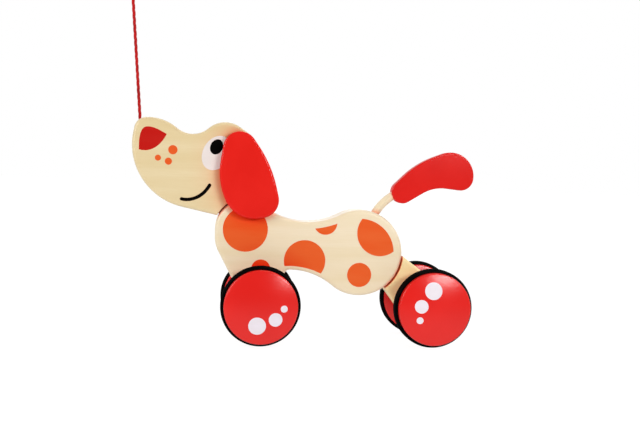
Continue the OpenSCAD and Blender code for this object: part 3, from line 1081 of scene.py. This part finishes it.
@dataclass
class PullCord:
    """Taut three-strand pull cord from the muzzle, with its bead and knots."""

    paints: Paintbox
    body: str = "head"
    start_mm: Place = (-125.0, 0.0, 143.0)
    end_mm: Place = (-136.0, 0.0, 284.0)
    exit_mm: Place = (-126.7, 0.0, 165.2)
    cord_d: float = 2.5
    strands: int = 3
    strand_d: float = 1.36
    strand_flats: int = 10
    turn_mm: float = 15.0
    step_mm: float = 0.8
    route_points: int = 24
    bead_d: float = 20.0
    bead_hole_d: float = 3.3
    bead_lip: float = 0.8
    bead_rest: float = 0.1
    bead_flats: int = 96
    knot_d: float = 6.4
    knot_l: float = 5.5
    knot_steps: int = 96
    knot_flats: int = 12

    def way(self) -> Vector:
        """Direction of the cord, up from the muzzle."""
        return (Vector(self.end_mm) - Vector(self.start_mm)).normalized()

    def length_mm(self) -> float:
        """Length of the cord from knot to knot."""
        return (Vector(self.end_mm) - Vector(self.start_mm)).length

    def build(self) -> None:
        """Builds the cord and the pieces on it."""
        knots = self.build_knots()
        bead = self.build_bead()
        cord = self.build_strands()

    def build_strands(self) -> Piece:
        """Lays up the strands, each as a round tube on a helix.

        Returns:
            The strands as one piece.
        """
        shape = bmesh.new()
        way, start = self.way(), Vector(self.start_mm)
        across = Vector((0.0, 1.0, 0.0))
        aside = way.cross(across)
        reach = (self.cord_d - self.strand_d) / 2
        count = math.ceil(self.length_mm() / self.step_mm)
        for strand in range(self.strands):
            line = []
            for i in range(count + 1):
                along = self.length_mm() * i / count
                angle = math.tau * (along / self.turn_mm + strand / self.strands)
                around = math.cos(angle) * across + math.sin(angle) * aside
                line.append((start + way * along + reach * around) * MM)
            add_tube(shape, line, self.strand_d / 2 * MM, closed=False, sides=self.strand_flats)
        strands = piece_from("cord_strands", shape)
        return dressed(strands, self.paints.cotton, self.body, "pull_cord")

    def build_bead(self) -> Piece:
        """Turns the bead, with eased lips at its hole.

        Returns:
            The bead.
        """
        ball, hole = self.bead_d / 2, self.bead_hole_d / 2
        top = math.sqrt(ball ** 2 - (hole + self.bead_lip) ** 2)
        rise = math.atan2(top, hole + self.bead_lip)
        half = arc((0.0, 0.0), ball, -rise, rise, BEAD_STEPS)
        lip_at = (hole + self.bead_lip, top - self.bead_lip)
        upper_lip = arc(lip_at, self.bead_lip, math.pi / 2, math.pi, LIP_STEPS)
        lower_lip = [(r, -z) for r, z in reversed(upper_lip)]
        middle = Vector(self.end_mm) - self.way() * (math.sqrt(ball ** 2 - hole ** 2) + self.bead_rest)
        profile = lower_lip + half + upper_lip
        bead = lathe("turned_bead", profile, middle * MM, self.way(), self.bead_flats)
        return dressed(bead, self.paints.gloss_red, self.body, "pull_bead")

    def build_knots(self) -> Piece:
        """Ties a trefoil knot at each end of the cord.

        Returns:
            Both knots as one piece.
        """
        shape = bmesh.new()
        way = self.way()
        across = Vector((0.0, 1.0, 0.0))
        aside = way.cross(across)
        tube_r = self.cord_d / 2
        wide = (self.knot_d / 2 - tube_r) / TREFOIL_REACH
        tall = self.knot_l / 2 - tube_r
        half = way * self.knot_l / 2
        for middle in (Vector(self.start_mm) - half, Vector(self.end_mm) + half):
            line = []
            for i in range(self.knot_steps):
                t = math.tau * i / self.knot_steps
                spot = across * (math.sin(t) + 2 * math.sin(2 * t))
                spot += aside * (math.cos(t) - 2 * math.cos(2 * t))
                line.append((middle + wide * spot - way * tall * math.sin(3 * t)) * MM)
            add_tube(shape, line, tube_r * MM, closed=True, sides=self.knot_flats)
        knots = piece_from("cord_knot_turns", shape)
        return dressed(knots, self.paints.cotton, self.body, "cord_knots")


@dataclass
class Trunk:
    """Body of three plies, with its orange spots."""

    frame: Frame
    paints: Paintbox
    edge_r: float = 2.6
    body: str = "body"
    shoulder_r: float = 16.9
    shoulder_lift: float = 0.5
    wheel_dot: Spot = Spot((-33.7, 55.4), 7.1)
    belly_dot: Spot = Spot((41.8, 52.0), 9.3)
    flank: Spot = Spot((-0.5, 62.0), 15.8, Trim((-11.6, 2.9), 55.0, Keep.OUTSIDE))
    saddle: Spot = Spot((14.7, 91.3), 9.0, Trim((0.9, 146.7), 60.2, Keep.OUTSIDE))
    rump: Spot = Spot((57.0, 84.4), 17.7, Trim((41.8, 68.9), 26.2, Keep.INSIDE))

    def build(self) -> None:
        """Builds the plies, the inner pins and the prints on both sides."""
        nodes = self.frame["nodes"]
        core = softened(nodes["body_core"], "body_middle_ply", 0.0)
        dressed(core, self.paints.core_maple, self.body, "body_core")
        for pin in ("neck_pin", "hip_pin"):
            paint_node(self.frame, pin, self.paints.dowel)
        neck = Span.of("neck_pin").centre / MM
        shoulder = Spot((neck.x, neck.z + self.shoulder_lift), self.shoulder_r)
        spots = [shoulder, self.wheel_dot, self.belly_dot, self.flank, self.saddle, self.rump]
        for side in Side:
            node = f"body_{side.label}_side"
            ply = softened(nodes[node], f"body_{side.label}_ply", self.edge_r)
            dressed(ply, self.paints.body_maple, self.body, node)
            face = Span.of(node).reach_y(side)
            film = Film().flat(f"body_{side.label}_spots", [spot.outline() for spot in spots], face, side)
            dressed(film, self.paints.orange_ink, self.body)


@dataclass
class Head:
    """Head of three plies with its printed face, and the two ears on their dowel."""

    frame: Frame
    paints: Paintbox
    edge_r: float = 2.6
    ear_edge_r: float = 1.6
    body: str = "head"
    neck_cut: Cut = Cut((-46.0, 84.5), 23.9)
    eye: Oval = Oval((-69.0, 141.6), (10.0, 13.6), 28.0)
    pupil: Oval = Oval((-69.0, 146.2), (4.6, 5.9), 25.0)
    pupil_proud_mm: float = 0.1
    mouth: Stroke = Stroke(((-94.0, 106.7), (-73.5, 117.5)), ((-88.5, 105.3), (-79.0, 107.3)), 2.5)
    freckles: tuple[Spot, ...] = (
        Spot((-101.2, 143.0), 3.4), Spot((-112.0, 136.8), 2.2), Spot((-104.3, 134.4), 2.6),
    )
    nose_corners: tuple[Point, ...] = ((-126.0, 142.5), (-119.5, 159.6), (-106.0, 154.5))
    nose_handles: tuple[tuple[Point, Point], ...] = (
        ((-126.2, 152.0), (-125.3, 160.0)),
        ((-115.0, 159.6), (-110.5, 157.0)),
        ((-109.2, 147.5), (-116.0, 139.9)),
    )

    def nose(self) -> list[Point]:
        """Draws the nose patch: a rounded triangle that points back along the muzzle.

        Returns:
            Points round it, in millimetres.
        """
        turned = self.nose_corners[1:] + self.nose_corners[:1]
        sides = zip(self.nose_corners, turned, self.nose_handles)
        return [p for start, end, handles in sides for p in bezier((start, end), handles, NOSE_STEPS)]

    def build(self) -> None:
        """Builds the plies, the ears and the prints on both sides."""
        nodes = self.frame["nodes"]
        core = softened(nodes["head_core"], "head_middle_ply", 0.0)
        dressed(core, self.paints.core_maple, self.body, "head_core")
        paint_node(self.frame, "ear_dowel", self.paints.dowel)
        for side in Side:
            cheek = f"head_{side.label}_cheek"
            ply = softened(nodes[cheek], f"head_{side.label}_ply", self.edge_r, cuts=[self.neck_cut])
            dressed(ply, self.paints.head_maple, self.body, cheek)
            ear = f"{side.label}_ear"
            flap = softened(nodes[ear], f"{side.label}_ear_flap", self.ear_edge_r, both_faces=True)
            dressed(flap, self.paints.ear_red, self.body, ear)
            self.print_face(side, Span.of(cheek).reach_y(side))

    def print_face(self, side: Side, face: float) -> None:
        """Prints the nose, the freckles, the eye and the mouth on one cheek.

        Args:
            side: Side of the toy.
            face: Distance of the cheek's face from the middle plane, in metres.
        """
        film, pupil_film = Film(), Film(self.pupil_proud_mm)
        prints = (
            ("freckles", film, [spot.outline() for spot in self.freckles], self.paints.orange_ink),
            ("nose", film, [self.nose()], self.paints.red_ink),
            ("eye", film, [self.eye.outline()], self.paints.eye_ink),
            ("pupil", pupil_film, [self.pupil.outline()], self.paints.black_ink),
            ("mouth", film, [self.mouth.outline()], self.paints.black_ink),
        )
        for label, layer, outlines, ink in prints:
            dressed(layer.flat(f"head_{side.label}_{label}", outlines, face, side), ink, self.body)


@dataclass
class HindLeg:
    """Hind leg of three plies, which swings on the hip pin."""

    frame: Frame
    paints: Paintbox
    edge_r: float = 2.4
    body: str = "hind_leg"
    hip_cut: Cut = Cut((41.8, 68.9), 33.9)

    def build(self) -> None:
        """Builds the plies."""
        nodes = self.frame["nodes"]
        core = softened(nodes["hind_leg_core"], "hind_leg_middle_ply", 0.0)
        dressed(core, self.paints.leg_maple, self.body, "hind_leg_core")
        for side in Side:
            node = f"hind_leg_{side.label}_side"
            name = f"hind_leg_{side.label}_ply"
            ply = softened(nodes[node], name, self.edge_r, cuts=[self.hip_cut])
            dressed(ply, self.paints.leg_maple, self.body, node)


@dataclass
class Tail:
    """Painted tail paddle on its bent wooden stem."""

    frame: Frame
    paints: Paintbox
    edge_r: float = 1.05
    body: str = "body"

    def build(self) -> None:
        """Builds the paddle and finishes the stem."""
        paddle = softened(self.frame["nodes"]["tail_paddle"], "tail_flap", self.edge_r, both_faces=True)
        dressed(paddle, self.paints.tail_red, self.body, "tail_paddle")
        paint_node(self.frame, "tail_stem", self.paints.body_maple)


# Dots on the outer faces of the left wheels, from the wheel's middle: to the tail, and up
FRONT_DOTS = (Spot((-2.6, -13.0), 6.4), Spot((10.7, -8.3), 5.0), Spot((16.8, -0.4), 2.55))
REAR_DOTS = (Spot((-2.3, 14.4), 6.5), Spot((-11.1, 2.7), 5.05), Spot((-11.9, -7.7), 2.55))


@dataclass
class WheelPair:
    """Two lens-shaped wheels with rubber tyres on one turning axle, with printed dots."""

    frame: Frame
    paints: Paintbox
    end: End
    dots: tuple[Spot, ...]
    hub_r: float = 9.0
    bore_r: float = 4.03
    axle_wall: float = 3.97
    dome_h: float = 3.5
    inner_dome_h: float = 2.5
    rim_w: float = 14.0
    edge_r: float = 1.0
    hub_edge_r: float = 0.8
    tyre_edge_r: float = 1.6
    dot_steps: int = 48
    dot_rings: int = 4
    film: Film = Film()

    @property
    def body(self) -> str:
        """CAD body of the pair."""
        return f"{self.end.value}_wheels"

    def build(self) -> None:
        """Builds both wheels, their tyres and dots, and finishes the axle and washers."""
        paint_node(self.frame, f"{self.end.value}_axle", self.paints.dowel)
        paint_node(self.frame, f"{self.end.value}_washers", self.paints.steel)
        for side in Side:
            stem = f"{self.end.value}_{side.label}"
            middle = Span.of(f"{self.end.value}_axle").centre
            middle.y = 0.0
            self.turn_wheel(stem, side, middle)
            self.turn_tyre(stem, side, middle)
            self.print_dots(stem, side, middle)

    def rim_r(self, stem: str) -> float:
        """Radius of the wheel under its tyre, in millimetres."""
        box = Span.of(f"{stem}_wheel")
        return (box.high.z - box.low.z) / 2 / MM

    def face(self, stem: str, side: Side) -> float:
        """Distance of the dome's top from the middle plane, in millimetres."""
        return Span.of(f"{stem}_wheel").reach_y(side) / MM

    def dome_r(self, stem: str, height: float) -> float:
        """Radius of the sphere that a dome is part of, in millimetres.

        Args:
            stem: Start of the piece's name.
            height: Height of the dome over the wheel's rim.

        Returns:
            The radius.
        """
        return (self.rim_r(stem) ** 2 + height ** 2) / (2 * height)

    def turn_wheel(self, stem: str, side: Side, middle: Vector) -> None:
        """Turns one wheel: hub, shallow inner dome, rim and outer dome.

        Args:
            stem: Start of the piece's name.
            side: Side of the toy.
            middle: Point of the axle on the middle plane.
        """
        rim, top, edge, hub_edge = self.rim_r(stem), self.face(stem, side), self.edge_r, self.hub_edge_r
        outer_r, inner_r = self.dome_r(stem, self.dome_h), self.dome_r(stem, self.inner_dome_h)
        outer_at = top - outer_r
        inner_at = top - self.dome_h - self.rim_w - self.inner_dome_h + inner_r
        hub = -Span.of(f"{stem}_wheel").reach_y(Side(-side.value)) / MM
        bore_end = top - self.dome_h - self.axle_wall
        outer_lip = math.acos((rim - edge) / (outer_r - edge))
        inner_lip = -math.acos((rim - edge) / (inner_r - edge))
        outer_round = (rim - edge, outer_at + (outer_r - edge) * math.sin(outer_lip))
        inner_round = (rim - edge, inner_at + (inner_r - edge) * math.sin(inner_lip))
        hub_foot = -math.acos((self.hub_r + hub_edge) / inner_r)
        foot = inner_at + inner_r * math.sin(hub_foot)
        profile = [(0.0, bore_end), (self.bore_r, bore_end), (self.bore_r, hub)]
        hub_round = (self.hub_r - hub_edge, hub + hub_edge)
        foot_round = (self.hub_r + hub_edge, foot - hub_edge)
        profile += arc(hub_round, hub_edge, -math.pi / 2, 0.0, LIP_STEPS)
        profile += arc(foot_round, hub_edge, math.pi, math.pi / 2, LIP_STEPS)
        profile += arc((0.0, inner_at), inner_r, hub_foot, inner_lip, INNER_DOME_STEPS)[1:-1]
        profile += arc(inner_round, edge, inner_lip, 0.0, EDGE_STEPS)
        profile += arc(outer_round, edge, 0.0, outer_lip, EDGE_STEPS)
        profile += arc((0.0, outer_at), outer_r, outer_lip, math.pi / 2, DOME_STEPS)[1:-1]
        profile.append((0.0, top))
        wheel = lathe(f"{stem}_disc", profile, middle, Vector((0.0, side.value, 0.0)))
        dressed(wheel, self.paints.gloss_red, self.body, f"{stem}_wheel")

    def turn_tyre(self, stem: str, side: Side, middle: Vector) -> None:
        """Turns one tyre with rounded shoulders.

        Args:
            stem: Start of the piece's name.
            side: Side of the toy.
            middle: Point of the axle on the middle plane.
        """
        box = Span.of(f"{stem}_tyre")
        outer_r = (box.high.z - box.low.z) / 2 / MM
        far, near = box.reach_y(side) / MM, -box.reach_y(Side(-side.value)) / MM
        rim, edge = self.rim_r(stem), self.tyre_edge_r
        profile = [(rim, near)]
        profile += arc((outer_r - edge, near + edge), edge, -math.pi / 2, 0.0, EDGE_STEPS)
        profile += arc((outer_r - edge, far - edge), edge, 0.0, math.pi / 2, EDGE_STEPS)
        profile.append((rim, far))
        tyre = lathe(f"{stem}_band", profile, middle, Vector((0.0, side.value, 0.0)))
        dressed(tyre, self.paints.rubber, self.body, f"{stem}_tyre")

    def print_dots(self, stem: str, side: Side, middle: Vector) -> None:
        """Prints the dots on the dome, as films that follow it.

        Args:
            stem: Start of the piece's name.
            side: Side of the toy.
            middle: Point of the axle on the middle plane.
        """
        top, dome = self.face(stem, side), self.dome_r(stem, self.dome_h)
        shape = bmesh.new()
        steps = self.dot_steps

        def lifted(point: Point, height: float) -> Corner:
            """Adds a corner at a height over the dome."""
            rise = top - dome + math.sqrt((dome + height) ** 2 - point[0] ** 2 - point[1] ** 2)
            spot = Vector((-point[0] * side.value, rise * side.value, point[1])) * MM
            return shape.verts.new(middle + spot)

        for dot in self.dots:
            layers = []
            for height in (-self.film.sunk_mm, self.film.proud_mm):
                layer = [[lifted(dot.centre, height)]]
                for k in range(1, self.dot_rings + 1):
                    circle = arc(dot.centre, dot.radius * k / self.dot_rings, 0.0, math.tau, steps)[:-1]
                    layer.append([lifted(point, height) for point in circle])
                layers.append(layer)
            for layer in layers:
                for inner, outer in zip(layer, layer[1:]):
                    count = len(inner)
                    for i in range(steps):
                        corners = [inner[i % count], outer[i], outer[i - 1], inner[(i - 1) % count]]
                        shape.faces.new(list(dict.fromkeys(corners)))
            low, high = layers[0][-1], layers[1][-1]
            for i in range(steps):
                shape.faces.new((low[i - 1], low[i], high[i], high[i - 1]))
        bmesh.ops.recalc_face_normals(shape, faces=shape.faces[:])
        dressed(piece_from(f"{stem}_dots", shape), self.paints.white_ink, self.body)


def main() -> None:
    """Builds the studio and every sub-assembly of the toy in order."""
    logging.basicConfig(level=logging.INFO, format="%(name)s: %(message)s")
    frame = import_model()
    Studio().build()
    paints = Paintbox.mixed()
    PullCord(paints).build()
    Trunk(frame, paints).build()
    Head(frame, paints).build()
    HindLeg(frame, paints).build()
    Tail(frame, paints).build()
    WheelPair(frame, paints, End.FRONT, FRONT_DOTS).build()
    WheelPair(frame, paints, End.REAR, REAR_DOTS).build()


if __name__ == "__main__":
    main()
